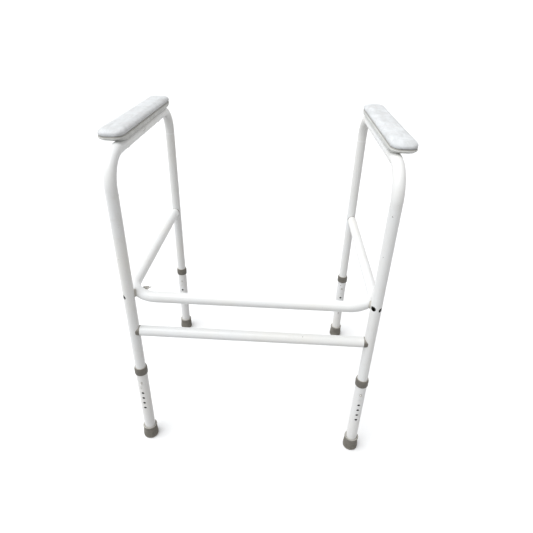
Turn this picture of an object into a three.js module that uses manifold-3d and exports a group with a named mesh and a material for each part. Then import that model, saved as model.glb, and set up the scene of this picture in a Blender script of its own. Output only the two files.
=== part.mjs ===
// Toilet safety frame: two inverted-U side frames, a U-shaped brace, a straight
// lower crossbar, four height-adjusting leg sleeves with snap buttons, rubber
// feet and two padded armrests.  Millimetres, +Z up.  The origin is on the floor
// under the middle of the footprint.  Front legs are at y = -DEPTH / 2.
import * as THREE from 'three';
import { mergeVertices } from 'three/addons/utils/BufferGeometryUtils.js';
import Module from 'manifold-3d';

const wasm = await Module();
wasm.setup();

// ---------------------------------------------------------------- dimensions
const TUBE_R = 12.5;        // 25 mm steel tube, outside radius
const TUBE_RI = 11.0;       // 1.5 mm wall
const WIDTH = 552;          // centre to centre of left and right legs
const DEPTH = 474;          // centre to centre of front and rear legs
const ARM_Z = 780;          // centreline height of the arm bar
const BEND_R = 63;          // top bend radius, centreline
const LEG_END_Z = 182;      // lower end of the inner leg tube
const BRACE_Z = 465;        // centreline height of the U brace
const BRACE_X = 278;        // side-run centreline, from the middle
const BRACE_DY = 1.5;       // front-run centreline, behind the front legs
const BRACE_BEND = 63;      // brace bend radius, centreline
const CORNER_DZ = 1.5;      // the corner bolts sit a little above the brace's centreline
const CROSS_Z = 367;        // centreline height of the lower crossbar
const SLEEVE_R = 14.0;      // leg sleeve outside radius
const SLEEVE_RI = 12.85;    // leg sleeve bore
const SLEEVE_Z0 = 8.6;      // sleeve bottom, inside the rubber foot
const SLEEVE_Z1 = 250;      // sleeve top, inside the collar
const HOLE_Z = 206;         // highest hole, where the button sits
const HOLE_PITCH = 18;      // spacing of the six holes
const HOLES = 6;
const HOLE_R = 3.6;
const BUTTON_R = 3.2;
const GAP = 0.3;            // clearance kept between touching pieces
const FOOT_H = 38;
const COLLAR_Z0 = 232;
const COLLAR_Z1 = 253;
const BOLT_R = 3.0;         // M6 shanks
const CLEAR_R = 3.35;       // M6 clearance holes
const ACCESS_R = 5.9;       // access holes: the bolt heads bear inside the leg, on its far wall
const SEAT = 9.2;           // bolt seat, from the leg's axis
const PAD_CX = 288.3;       // pad centreline, from the middle
const PAD_Y0 = -185;        // pad front end
const PAD_Y1 = 221;         // pad rear end
const PAD_SHIFT = { left: 0, right: -6 };  // each pad is screwed on by itself
const PAD_W = 56;
const BASE_H = 8.2;
const TRIM_H = 1.6;
const CUSHION_H = 14.4;
const LX = WIDTH / 2;
const LY = DEPTH / 2;
const SIDES_TUBE = 16;      // facets of the large tubes
const SIDES_LEG = 20;       // facets of the sleeves, collars and feet
const SIDES_HOLE = 10;      // facets of small holes and shanks
const BEND_STEPS = 6;       // steps in each tube bend

// ----------------------------------------------------------------- materials
const paint = () => new THREE.MeshStandardMaterial({ color: 0xeeeeec, roughness: 0.38, metalness: 0.0 });
const sleevePaint = () => new THREE.MeshStandardMaterial({ color: 0xf0f0ee, roughness: 0.36, metalness: 0.0 });
const darkPlastic = () => new THREE.MeshStandardMaterial({ color: 0x55524f, roughness: 0.55, metalness: 0.0 });
const rubber = () => new THREE.MeshStandardMaterial({ color: 0x4c4a47, roughness: 0.8, metalness: 0.0 });
const steel = () => new THREE.MeshStandardMaterial({ color: 0xa9aaa8, roughness: 0.35, metalness: 0.9 });
const spring = () => new THREE.MeshStandardMaterial({ color: 0x8f9193, roughness: 0.3, metalness: 1.0 });
const basePlastic = () => new THREE.MeshStandardMaterial({ color: 0xb9bab5, roughness: 0.5, metalness: 0.0 });
const trimPlastic = () => new THREE.MeshStandardMaterial({ color: 0x6f6f6b, roughness: 0.6, metalness: 0.0 });
const vinyl = () => new THREE.MeshStandardMaterial({ color: 0xd9dcdc, roughness: 0.6, metalness: 0.0 });

// ------------------------------------------------------------------- helpers
function solid(geometry, matrix) {
  const g = geometry.clone();
  g.deleteAttribute('normal');
  g.deleteAttribute('uv');
  if (matrix) g.applyMatrix4(matrix);
  const m = mergeVertices(g, 1e-4);
  const idx = m.index.array;
  const keep = [];
  for (let i = 0; i < idx.length; i += 3) {
    const [a, b, c] = [idx[i], idx[i + 1], idx[i + 2]];
    if (a !== b && b !== c && a !== c) keep.push(a, b, c);
  }
  return new wasm.Manifold(new wasm.Mesh({
    numProp: 3,
    vertProperties: new Float32Array(m.attributes.position.array),
    triVerts: new Uint32Array(keep),
  }));
}

function geometryOf(man) {
  const mesh = man.getMesh();
  const g = new THREE.BufferGeometry();
  const n = mesh.numProp;
  const pos = new Float32Array((mesh.vertProperties.length / n) * 3);
  for (let i = 0, j = 0; i < mesh.vertProperties.length; i += n, j += 3) {
    pos[j] = mesh.vertProperties[i];
    pos[j + 1] = mesh.vertProperties[i + 1];
    pos[j + 2] = mesh.vertProperties[i + 2];
  }
  g.setAttribute('position', new THREE.BufferAttribute(pos, 3));
  g.setIndex(new THREE.BufferAttribute(new Uint32Array(mesh.triVerts), 1));
  g.computeVertexNormals();
  return g;
}

// A curve whose steps fall exactly on its knots, so straight runs cost nothing.
class KnotPath extends THREE.Curve {
  constructor(points, tangents) {
    super();
    this.p = points;
    this.t = tangents;
  }
  at(list, u) {
    const f = u * (this.p.length - 1);
    const i = Math.min(Math.floor(f), this.p.length - 2);
    return list[i].clone().lerp(list[i + 1], f - i);
  }
  getPoint(u) { return this.at(this.p, u); }
  getPointAt(u) { return this.at(this.p, u); }
  getTangent(u) { return this.at(this.t, u).normalize(); }
  getTangentAt(u) { return this.at(this.t, u).normalize(); }
  getSpacedPoints(n) { return this.getPoints(n); }
}

function ringPoints(r, sides, reverse) {
  const pts = [];
  for (let i = 0; i < sides; i++) {
    const a = ((reverse ? -i : i) / sides) * Math.PI * 2;
    pts.push(new THREE.Vector2(r * Math.cos(a), r * Math.sin(a)));
  }
  return pts;
}

function sweep(path, r, ri, sides) {
  const shape = new THREE.Shape(ringPoints(r, sides, false));
  if (ri) shape.holes.push(new THREE.Path(ringPoints(ri, 12, true)));
  return new THREE.ExtrudeGeometry(shape, {
    steps: path.p.length - 1, extrudePath: path, bevelEnabled: false,
  });
}

// A solid of revolution about +Z from [radius, height] pairs, going up.
function turned(profile, sides = 24) {
  return new THREE.LatheGeometry(profile.map(([r, z]) => new THREE.Vector2(r, z)), sides)
    .rotateX(Math.PI / 2);
}

const V = (x, y, z) => new THREE.Vector3(x, y, z);

// A rod along any direction, used as a cutter and for plain shanks.
function rod(from, to, r, sides = SIDES_HOLE) {
  const d = to.clone().sub(from);
  const g = new THREE.CylinderGeometry(r, r, d.length(), sides);
  const q = new THREE.Quaternion().setFromUnitVectors(V(0, 1, 0), d.clone().normalize());
  const m = new THREE.Matrix4().compose(from.clone().add(to).multiplyScalar(0.5), q, V(1, 1, 1));
  return solid(g, m);
}

// Places geometry modelled along +Z so that +Z points along dir from origin.
function aim(origin, dir, roll = 0) {
  const q = new THREE.Quaternion().setFromUnitVectors(V(0, 0, 1), dir.clone().normalize());
  const r = new THREE.Quaternion().setFromAxisAngle(V(0, 0, 1), roll);
  return new THREE.Matrix4().compose(origin, q.multiply(r), V(1, 1, 1));
}

// ------------------------------------------------------------------- paths
function archPath() {
  const p = [];
  const t = [];
  const add = (y, z, ty, tz) => { p.push(V(0, y, z)); t.push(V(0, ty, tz).normalize()); };
  const n = BEND_STEPS;
  add(-LY, LEG_END_Z, 0, 1);
  for (let i = 0; i <= n; i++) {
    const a = (i / n) * Math.PI / 2;
    add(-LY + BEND_R - BEND_R * Math.cos(a), ARM_Z - BEND_R + BEND_R * Math.sin(a), Math.sin(a), Math.cos(a));
  }
  for (let i = 0; i <= n; i++) {
    const a = (i / n) * Math.PI / 2;
    add(LY - BEND_R + BEND_R * Math.sin(a), ARM_Z - BEND_R + BEND_R * Math.cos(a), Math.cos(a), -Math.sin(a));
  }
  add(LY, LEG_END_Z, 0, -1);
  return new KnotPath(p, t);
}

const BRACE_Y = -LY + BRACE_DY;
const BRACE_END_Y = LY - TUBE_R - 2.0;
const BC = V(BRACE_X - BRACE_BEND, BRACE_Y + BRACE_BEND, BRACE_Z);   // right bend centre

function bracePath() {
  const p = [];
  const t = [];
  const add = (x, y, tx, ty) => { p.push(V(x, y, BRACE_Z)); t.push(V(tx, ty, 0).normalize()); };
  const n = BEND_STEPS;
  add(-BRACE_X, BRACE_END_Y, 0, -1);
  for (let i = 0; i <= n; i++) {
    const a = (i / n) * Math.PI / 2;
    add(-BC.x - BRACE_BEND * Math.cos(a), BC.y - BRACE_BEND * Math.sin(a), Math.sin(a), -Math.cos(a));
  }
  for (let i = 0; i <= n; i++) {
    const a = (i / n) * Math.PI / 2;
    add(BC.x + BRACE_BEND * Math.sin(a), BC.y - BRACE_BEND * Math.cos(a), Math.cos(a), Math.sin(a));
  }
  add(BRACE_X, BRACE_END_Y, 0, 1);
  return new KnotPath(p, t);
}

// direction from a front leg's axis to the nearest point of the brace bend
const DIAG = V(BC.x - LX, BC.y + LY, 0).normalize();       // right side, points inwards
const diag = (s) => V(DIAG.x * s, DIAG.y, 0);
const BEND_GAP = V(BC.x - LX, BC.y + LY, 0).length() - BRACE_BEND; // leg axis to brace axis

const group = new THREE.Group();
function put(name, geometry, material) {
  const mesh = new THREE.Mesh(geometry, material);
  mesh.name = name;
  group.add(mesh);
  return mesh;
}

const SIDES = [['left', -1], ['right', 1]];
const ENDS = [['front', -1], ['rear', 1]];

// -------------------------------------------------------------- side frames
const ARM_SCREW_Y = [-118, 122];
for (const [side, s] of SIDES) {
  let m = solid(sweep(archPath(), TUBE_R, TUBE_RI, SIDES_TUBE), new THREE.Matrix4().makeTranslation(s * LX, 0, 0));
  const cuts = [];
  // snap-button holes, one in each leg, facing the front
  for (const [, e] of ENDS) cuts.push(rod(V(s * LX, e * LY - 20, HOLE_Z), V(s * LX, e * LY - 6, HOLE_Z), HOLE_R, SIDES_HOLE));
  // bolt holes
  const boltHoles = (at, d) => {      // d points from the leg's axis to what the bolt holds
    cuts.push(rod(at, at.clone().addScaledVector(d, 20), CLEAR_R, SIDES_HOLE));
    cuts.push(rod(at.clone().addScaledVector(d, -20), at, ACCESS_R, 12));
  };
  boltHoles(V(s * LX, -LY, CROSS_Z), V(-s, 0, 0));
  boltHoles(V(s * LX, -LY, BRACE_Z + CORNER_DZ), diag(s));
  boltHoles(V(s * BRACE_X, LY, BRACE_Z), V(0, -1, 0));
  if (side === 'right') {             // the tube is also drilled for the other diagonal
    const at = V(LX, -LY, BRACE_Z + 4);
    cuts.push(rod(at, at.clone().add(V(-14.4, -13.9, 0)), 6.4, 12));
  }
  for (const y of ARM_SCREW_Y) cuts.push(rod(V(s * LX, y, ARM_Z - 20), V(s * LX, y, ARM_Z + 20), 2.85, SIDES_HOLE));
  for (const c of cuts) m = m.subtract(c);
  put(`side_frame_${side}`, geometryOf(m), paint());
}

// ------------------------------------------------------------------ U brace
{
  let m = solid(sweep(bracePath(), TUBE_R, TUBE_RI, SIDES_TUBE));
  const cuts = [];
  for (const [side, s] of SIDES) {
    const d = diag(s);
    const mid = V(s * LX, -LY, BRACE_Z + CORNER_DZ).addScaledVector(d, BEND_GAP);
    const far = side === 'left' ? 20 : 0;       // the right bolt ends in a nut inside
    cuts.push(rod(mid.clone().addScaledVector(d, -20), mid.clone().addScaledVector(d, far), CLEAR_R, SIDES_HOLE));
  }
  for (const c of cuts) m = m.subtract(c);
  put('u_brace', geometryOf(m), paint());
}

// ---------------------------------------------------------------- crossbar
const CROSS_END = LX - TUBE_R - 2.0;
put('lower_crossbar', sweep(new KnotPath(
  [V(-CROSS_END, -LY, CROSS_Z), V(CROSS_END, -LY, CROSS_Z)], [V(1, 0, 0), V(1, 0, 0)]), TUBE_R, TUBE_RI, SIDES_TUBE), paint());

// Coped end plug: a spigot in the tube and a saddle head against the leg.
// dir points from the tube towards the leg; base is the tube's end on its axis.
function copedPlug(base, dir, legAt) {
  const profile = [
    [CLEAR_R, -19], [10.3, -19], [10.3, GAP], [12.1, GAP], [12.1, 9.5], [CLEAR_R, 9.5], [CLEAR_R, -19],
  ];
  const body = solid(turned(profile, SIDES_TUBE), aim(base, dir));
  const leg = rod(V(legAt.x, legAt.y, base.z - 30), V(legAt.x, legAt.y, base.z + 30), TUBE_R + GAP + 0.1, 24);
  return geometryOf(body.subtract(leg));
}
for (const [side, s] of SIDES) {
  put(`crossbar_plug_${side}`, copedPlug(V(s * CROSS_END, -LY, CROSS_Z), V(s, 0, 0), V(s * LX, -LY, 0)), darkPlastic());
  put(`brace_plug_${side}`, copedPlug(V(s * BRACE_X, BRACE_END_Y, BRACE_Z), V(0, 1, 0), V(s * LX, LY, 0)), darkPlastic());
}

// Low domed screw along +Z: head underside at 0, shank going down.
function screwGeometry(r, headR, headH, length, sides = SIDES_HOLE) {
  return turned([
    [0, -length], [r, -length], [r, 0], [headR, 0], [headR, headH * 0.35], [headR * 0.65, headH], [0, headH],
  ], sides);
}
for (const [side, s] of SIDES) {
  const g1 = screwGeometry(BOLT_R, 4.6, 2.8, 28).applyMatrix4(aim(V(s * (LX - SEAT), -LY, CROSS_Z), V(s, 0, 0)));
  put(`crossbar_bolt_${side}`, g1, steel());
  const g2 = screwGeometry(BOLT_R, 4.6, 2.8, 28).applyMatrix4(aim(V(s * BRACE_X, LY - SEAT + 1.5, BRACE_Z), V(0, 1, 0)));
  put(`brace_end_bolt_${side}`, g2, steel());
}

// -------------------------------------------------------- corner fasteners
for (const [side, s] of SIDES) {
  const d = diag(s);
  const legAxis = V(s * LX, -LY, BRACE_Z + CORNER_DZ);
  const at = (k) => legAxis.clone().addScaledVector(d, k);
  // saddle spacer between the leg and the brace bend
  let saddle = rod(at(4), at(BEND_GAP - 4), 8.6, 14);
  saddle = saddle.subtract(rod(V(s * LX, -LY, BRACE_Z - 30), V(s * LX, -LY, BRACE_Z + 30), TUBE_R + GAP, 24));
  saddle = saddle.subtract(solid(sweep(bracePath(), TUBE_R + GAP + 0.2, 0, SIDES_TUBE)));
  saddle = saddle.subtract(rod(at(0), at(BEND_GAP), CLEAR_R, SIDES_HOLE));
  put(`corner_saddle_${side}`, geometryOf(saddle), darkPlastic());
  const reach = side === 'left' ? BEND_GAP + TUBE_R + 13 : BEND_GAP + 6.4;
  const bolt = screwGeometry(BOLT_R, 4.6, 3.0, reach - SEAT)
    .applyMatrix4(aim(at(SEAT), d.clone().negate()));
  put(`corner_bolt_${side}`, bolt, steel());
}
{
  // barrel nut held inside the brace at the right corner
  const d = diag(1);
  const mid = V(LX, -LY, BRACE_Z + CORNER_DZ).addScaledVector(d, BEND_GAP);
  const g = turned([[CLEAR_R, -7], [5.2, -7], [5.2, 7], [CLEAR_R, 7], [CLEAR_R, -7]], SIDES_HOLE).applyMatrix4(aim(mid, d));
  put('barrel_nut_right', g, steel());
}
{
  // flat washer and wing nut on the inside of the left corner
  const d = diag(-1);
  const legAxis = V(-LX, -LY, BRACE_Z + CORNER_DZ);
  const face = BEND_GAP + TUBE_R + GAP + 0.6;   // clear of the bend, which curves towards it
  const w = turned([[CLEAR_R, 0], [6.2, 0], [6.2, 1.2], [CLEAR_R, 1.2], [CLEAR_R, 0]], 12)
    .applyMatrix4(aim(legAxis.clone().addScaledVector(d, face), d));
  put('wing_nut_washer', w, steel());
  const hub = solid(turned([[CLEAR_R, 0], [5.6, 0], [5.6, 1.6], [4.6, 7.5], [CLEAR_R, 7.5], [CLEAR_R, 0]], 12));
  const wing = new THREE.Shape();
  wing.moveTo(3.9, 0.8);
  wing.lineTo(6.4, 1.2);
  wing.lineTo(11.4, 6.4);
  wing.quadraticCurveTo(13.6, 9.4, 11.9, 11.6);
  wing.quadraticCurveTo(9.6, 13.0, 7.6, 10.6);
  wing.lineTo(4.0, 6.6);
  wing.closePath();
  const wg = new THREE.ExtrudeGeometry(wing, { depth: 2.2, bevelEnabled: false, curveSegments: 2 })
    .translate(0, 0, -1.1).rotateX(Math.PI / 2);
  const w1 = solid(wg);
  const w2 = solid(wg, new THREE.Matrix4().makeRotationZ(Math.PI));
  const nut = hub.add(w1).add(w2);
  const m = aim(legAxis.clone().addScaledVector(d, face + 1.5), d, Math.PI / 2 + 0.35);
  put('wing_nut', geometryOf(nut).applyMatrix4(m), steel());
}

// ------------------------------------------------------- legs and their feet
for (const [end, e] of ENDS) {
  for (const [side, s] of SIDES) {
    const cx = s * LX;
    const cy = e * LY;
    const tag = `${end}_${side}`;
    // sleeve with its row of six holes facing the front
    let m = solid(turned([
      [SLEEVE_RI, SLEEVE_Z0], [SLEEVE_R, SLEEVE_Z0], [SLEEVE_R, SLEEVE_Z1], [SLEEVE_RI, SLEEVE_Z1], [SLEEVE_RI, SLEEVE_Z0],
    ], SIDES_LEG), new THREE.Matrix4().makeTranslation(cx, cy, 0));
    for (let i = 0; i < HOLES; i++) {
      const z = HOLE_Z - i * HOLE_PITCH;
      m = m.subtract(rod(V(cx, cy - 22, z), V(cx, cy - 6, z), HOLE_R, SIDES_HOLE));
    }
    put(`leg_sleeve_${tag}`, geometryOf(m), sleevePaint());
    // collar: grips the sleeve's top, its lip centres the inner leg
    put(`collar_${tag}`, turned([
      [SLEEVE_R + GAP, COLLAR_Z0], [15.3, COLLAR_Z0], [15.9, COLLAR_Z0 + 1], [15.9, COLLAR_Z1 - 4.5], [14.6, COLLAR_Z1],
      [SLEEVE_RI, COLLAR_Z1], [SLEEVE_RI, SLEEVE_Z1 + GAP], [SLEEVE_R + GAP, SLEEVE_Z1 + GAP], [SLEEVE_R + GAP, COLLAR_Z0],
    ], SIDES_LEG).translate(cx, cy, 0), darkPlastic());
    // rubber ferrule foot
    put(`foot_${tag}`, turned([
      [0, 0], [16.5, 0], [19.3, 3], [19.2, 10], [17.3, 31.5], [18.3, 32.5], [18.3, 36.5],
      [17.4, FOOT_H], [SLEEVE_R + GAP, FOOT_H], [SLEEVE_R + GAP, SLEEVE_Z0 - GAP], [0, SLEEVE_Z0 - GAP],
    ], SIDES_LEG).translate(cx, cy, 0), rubber());
    // snap button, pointing to the front
    put(`snap_button_${tag}`, turned([
      [0, 8.4], [4.4, 8.4], [4.4, 9.4], [BUTTON_R, 9.4], [BUTTON_R, 15.4], [2.4, 16.9], [0, 17.4],
    ], SIDES_HOLE).rotateX(Math.PI / 2).translate(cx, cy, HOLE_Z), steel());
    // V spring behind the button, inside the leg
    const c = [[-7.6, -6], [-7.6, 5], [-3.2, 44], [0.6, 50.5], [4.4, 45], [9.0, 8], [9.3, -6]];
    const half = 0.4;
    const a = [];
    const b = [];
    c.forEach(([y, z], i) => {
      const [y0, z0] = c[Math.max(i - 1, 0)];
      const [y1, z1] = c[Math.min(i + 1, c.length - 1)];
      const l = Math.hypot(y1 - y0, z1 - z0);
      const ny = (z1 - z0) / l;
      const nz = -(y1 - y0) / l;
      a.push(new THREE.Vector2(y + ny * half, z + nz * half));
      b.push(new THREE.Vector2(y - ny * half, z - nz * half));
    });
    const strip = new THREE.Shape([...a, ...b.reverse()]);
    // shape x is along Y, shape y is along Z, extrusion is along X
    const sp = new THREE.ExtrudeGeometry(strip, { depth: 7, bevelEnabled: false })
      .translate(0, 0, -3.5)
      .applyMatrix4(new THREE.Matrix4().makeBasis(V(0, 1, 0), V(0, 0, 1), V(1, 0, 0)))
      .translate(cx, cy, HOLE_Z);
    put(`button_spring_${tag}`, sp, spring());
  }
}

// ----------------------------------------------------------------- armrests
function padOutline(w, y0, y1, r) {
  const h = w / 2;
  const k = r * 1.35;
  const sh = new THREE.Shape();
  sh.moveTo(-h + r, y0);
  sh.lineTo(h - r, y0);
  sh.quadraticCurveTo(h - r * 0.12, y0 + k * 0.12, h, y0 + k);
  sh.lineTo(h, y1 - k);
  sh.quadraticCurveTo(h - r * 0.12, y1 - k * 0.12, h - r, y1);
  sh.lineTo(-h + r, y1);
  sh.quadraticCurveTo(-h + r * 0.12, y1 - k * 0.12, -h, y1 - k);
  sh.lineTo(-h, y0 + k);
  sh.quadraticCurveTo(-h + r * 0.12, y0 + k * 0.12, -h + r, y0);
  return sh;
}
const BASE_Z = ARM_Z + TUBE_R + GAP;
for (const [side, s] of SIDES) {
  const cx = s * PAD_CX;
  const y0 = PAD_Y0 + PAD_SHIFT[side];
  const y1 = PAD_Y1 + PAD_SHIFT[side];
  let base = solid(new THREE.ExtrudeGeometry(padOutline(PAD_W - 1, y0 + 0.5, y1 - 0.5, 20),
    { depth: BASE_H, bevelEnabled: false, curveSegments: 5 }), new THREE.Matrix4().makeTranslation(cx, 0, BASE_Z));
  // both ends slope in towards the underside
  const side2 = new THREE.Shape([[y0 + 13, -0.5], [y1 - 13, -0.5], [y1 + 1, BASE_H * 0.8], [y1 + 1, BASE_H + 1],
    [y0 - 1, BASE_H + 1], [y0 - 1, BASE_H * 0.8]].map(([y, z]) => new THREE.Vector2(y, z)));
  base = base.intersect(solid(new THREE.ExtrudeGeometry(side2, { depth: 80, bevelEnabled: false }).translate(0, 0, -40)
    .applyMatrix4(new THREE.Matrix4().makeBasis(V(0, 1, 0), V(0, 0, 1), V(1, 0, 0))).translate(cx, 0, BASE_Z)));
  for (const y of ARM_SCREW_Y) {
    base = base.subtract(rod(V(s * LX, y, BASE_Z - 5), V(s * LX, y, BASE_Z + 6.6), 2.85, SIDES_HOLE));
  }
  put(`armrest_base_${side}`, geometryOf(base), basePlastic());
  put(`armrest_trim_${side}`, new THREE.ExtrudeGeometry(padOutline(PAD_W - 4, y0 + 2, y1 - 2, 18.5),
    { depth: TRIM_H, bevelEnabled: false, curveSegments: 4 }).translate(cx, 0, BASE_Z + BASE_H + GAP), trimPlastic());
  const b = 4.6;
  put(`armrest_cushion_${side}`, new THREE.ExtrudeGeometry(padOutline(PAD_W - 2 * b, y0 + b, y1 - b, 16.5),
    { depth: CUSHION_H - 2 * b, bevelEnabled: true, bevelThickness: b, bevelSize: b, bevelSegments: 3, curveSegments: 4 })
    .translate(cx, 0, BASE_Z + BASE_H + TRIM_H + 2 * GAP + b), vinyl());
  ARM_SCREW_Y.forEach((y, i) => {
    const g = screwGeometry(2.4, 4.8, 2.4, 31).applyMatrix4(aim(V(s * LX, y, ARM_Z - TUBE_R - GAP), V(0, 0, -1)));
    put(`armrest_screw_${side}_${i + 1}`, g, steel());
  });
}

export default group;
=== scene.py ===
import math
import bmesh
import bpy
import numpy as np
from mathutils import Matrix, Vector, Quaternion, noise


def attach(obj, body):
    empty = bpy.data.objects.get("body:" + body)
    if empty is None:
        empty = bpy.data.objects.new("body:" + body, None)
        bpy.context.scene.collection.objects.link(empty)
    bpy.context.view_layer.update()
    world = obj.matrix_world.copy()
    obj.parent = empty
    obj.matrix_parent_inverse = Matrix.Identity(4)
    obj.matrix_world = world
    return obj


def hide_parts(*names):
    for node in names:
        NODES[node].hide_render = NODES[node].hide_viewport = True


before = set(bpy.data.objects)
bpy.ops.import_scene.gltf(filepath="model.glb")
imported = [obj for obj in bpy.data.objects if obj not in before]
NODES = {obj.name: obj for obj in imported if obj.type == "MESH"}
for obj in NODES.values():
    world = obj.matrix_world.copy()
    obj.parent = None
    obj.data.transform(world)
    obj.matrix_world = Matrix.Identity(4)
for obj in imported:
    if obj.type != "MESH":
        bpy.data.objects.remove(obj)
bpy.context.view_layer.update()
MM = 0.001
TAU = math.tau

# ------------------------------------------------------------ dimensions (mm)
R_TUBE, R_SLEEVE, R_BORE = 12.5, 14.0, 12.9
LX, LY = 276.0, 237.0
ARM_Z, BEND_R, LEG_END = 780.0, 63.0, 182.0
BRACE_Z, BRACE_X, BRACE_BEND = 465.0, 278.0, 63.0
CORNER_Z = BRACE_Z + 1.5
ACCESS_R, SEAT = 5.9, 9.2
BRACE_Y = -LY + 1.5
BRACE_END_Y = LY - R_TUBE - 2.0
CROSS_Z, CROSS_END = 367.0, LX - R_TUBE - 2.0
HOLE_Z, PITCH = 206.0, 18.0
SIDES = (("left", -1), ("right", 1))
ENDS = (("front", -1), ("rear", 1))


def V(x, y, z):
    return Vector((x, y, z))


# ---------------------------------------------------------------- camera
def make_camera():
    cx, cy, cz = 56.677, -782.287 - 237.0, 1029.879
    yaw, pitch, roll, f = -0.0329, 0.5414, -0.0313, 432.246
    fwd = Vector((math.sin(yaw) * math.cos(pitch), math.cos(yaw) * math.cos(pitch), -math.sin(pitch)))
    right = Vector((math.cos(yaw), -math.sin(yaw), 0.0))
    down = fwd.cross(right)
    c, s = math.cos(roll), math.sin(roll)
    r2 = c * right + s * down
    d2 = -s * right + c * down
    up, back = -d2, -fwd
    m = Matrix(((r2.x, up.x, back.x, cx * MM), (r2.y, up.y, back.y, cy * MM), (r2.z, up.z, back.z, cz * MM), (0, 0, 0, 1)))
    cam = bpy.data.objects.new("camera", bpy.data.cameras.new("camera"))
    cam.data.sensor_width = 36.0
    cam.data.sensor_fit = "HORIZONTAL"
    cam.data.lens = f / 533.0 * 36.0
    cam.data.clip_start = 0.05
    cam.data.clip_end = 60
    bpy.context.scene.collection.objects.link(cam)
    cam.matrix_world = m
    bpy.context.scene.camera = cam


make_camera()


# ---------------------------------------------------------------- materials
def new_mat(name):
    m = bpy.data.materials.new(name)
    m.use_nodes = True
    nt = m.node_tree
    nt.nodes.clear()
    out = nt.nodes.new("ShaderNodeOutputMaterial")
    b = nt.nodes.new("ShaderNodeBsdfPrincipled")
    nt.links.new(b.outputs["BSDF"], out.inputs["Surface"])
    return m, nt, b


class N:
    """Short helpers for building node trees."""

    def __init__(self, nt):
        self.nt = nt
        tc = nt.nodes.new("ShaderNodeTexCoord")
        self.obj = tc.outputs["Object"]

    def link(self, a, b):
        self.nt.links.new(a, b)

    def mapping(self, scale=(1, 1, 1), loc=(0, 0, 0), rot=(0, 0, 0), src=None):
        n = self.nt.nodes.new("ShaderNodeMapping")
        n.inputs["Scale"].default_value = scale
        n.inputs["Location"].default_value = loc
        n.inputs["Rotation"].default_value = rot
        self.link(src or self.obj, n.inputs["Vector"])
        return n.outputs["Vector"]

    def noise(self, scale, detail=4.0, rough=0.55, src=None, dist=0.0):
        n = self.nt.nodes.new("ShaderNodeTexNoise")
        n.inputs["Scale"].default_value = scale
        n.inputs["Detail"].default_value = detail
        n.inputs["Roughness"].default_value = rough
        n.inputs["Distortion"].default_value = dist
        self.link(src or self.obj, n.inputs["Vector"])
        return n.outputs["Fac"]

    def voronoi(self, scale, src=None, feature="F1", rand=1.0):
        n = self.nt.nodes.new("ShaderNodeTexVoronoi")
        n.feature = feature
        n.inputs["Scale"].default_value = scale
        n.inputs["Randomness"].default_value = rand
        self.link(src or self.obj, n.inputs["Vector"])
        return n

    def ramp(self, src, stops, interp="LINEAR"):
        n = self.nt.nodes.new("ShaderNodeValToRGB")
        n.color_ramp.interpolation = interp
        el = n.color_ramp.elements
        while len(el) < len(stops):
            el.new(0.5)
        for e, (p, c) in zip(el, stops):
            e.position = p
            e.color = (c, c, c, 1) if not hasattr(c, "__len__") else (*c, 1)
        self.link(src, n.inputs["Fac"])
        return n.outputs["Color"]

    def math(self, op, a, b=None, clamp=False):
        n = self.nt.nodes.new("ShaderNodeMath")
        n.operation = op
        n.use_clamp = clamp
        for i, v in enumerate((a, b)):
            if v is None:
                continue
            if isinstance(v, (int, float)):
                n.inputs[i].default_value = v
            else:
                self.link(v, n.inputs[i])
        return n.outputs[0]

    def mix(self, fac, a, b, mode="MIX"):
        n = self.nt.nodes.new("ShaderNodeMix")
        n.data_type = "RGBA"
        n.blend_type = mode
        for sock, v in ((n.inputs["Factor"], fac), (n.inputs["A"], a), (n.inputs["B"], b)):
            if isinstance(v, (int, float)):
                sock.default_value = v
            elif hasattr(v, "__len__"):
                sock.default_value = (*v, 1)
            else:
                self.link(v, sock)
        return n.outputs["Result"]

    def bump(self, height, strength, distance, normal=None):
        n = self.nt.nodes.new("ShaderNodeBump")
        n.inputs["Strength"].default_value = strength
        n.inputs["Distance"].default_value = distance
        self.link(height, n.inputs["Height"])
        if normal is not None:
            self.link(normal, n.inputs["Normal"])
        return n.outputs["Normal"]

    def sep(self, src=None):
        n = self.nt.nodes.new("ShaderNodeSeparateXYZ")
        self.link(src or self.obj, n.inputs[0])
        return n.outputs


def spot(k, centre, r0, r1, grain, seed=0.0):
    """Ragged mark around a point of the object (mm): 1 inside, 0 outside."""
    n = k.nt.nodes.new("ShaderNodeVectorMath")
    n.operation = "DISTANCE"
    k.link(k.obj, n.inputs[0])
    n.inputs[1].default_value = [c * MM for c in centre]
    d = k.math("ADD", n.outputs["Value"], k.math("MULTIPLY", k.math("SUBTRACT", k.noise(grain, 4, 0.6, k.mapping(loc=(seed, 0, 0))), 0.5), r1 * MM * 1.6))
    m = k.nt.nodes.new("ShaderNodeMapRange")
    m.inputs["From Min"].default_value = r0 * MM
    m.inputs["From Max"].default_value = r1 * MM
    m.inputs["To Min"].default_value = 1.0
    m.inputs["To Max"].default_value = 0.0
    k.link(d, m.inputs["Value"])
    return m.outputs["Result"]


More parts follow.
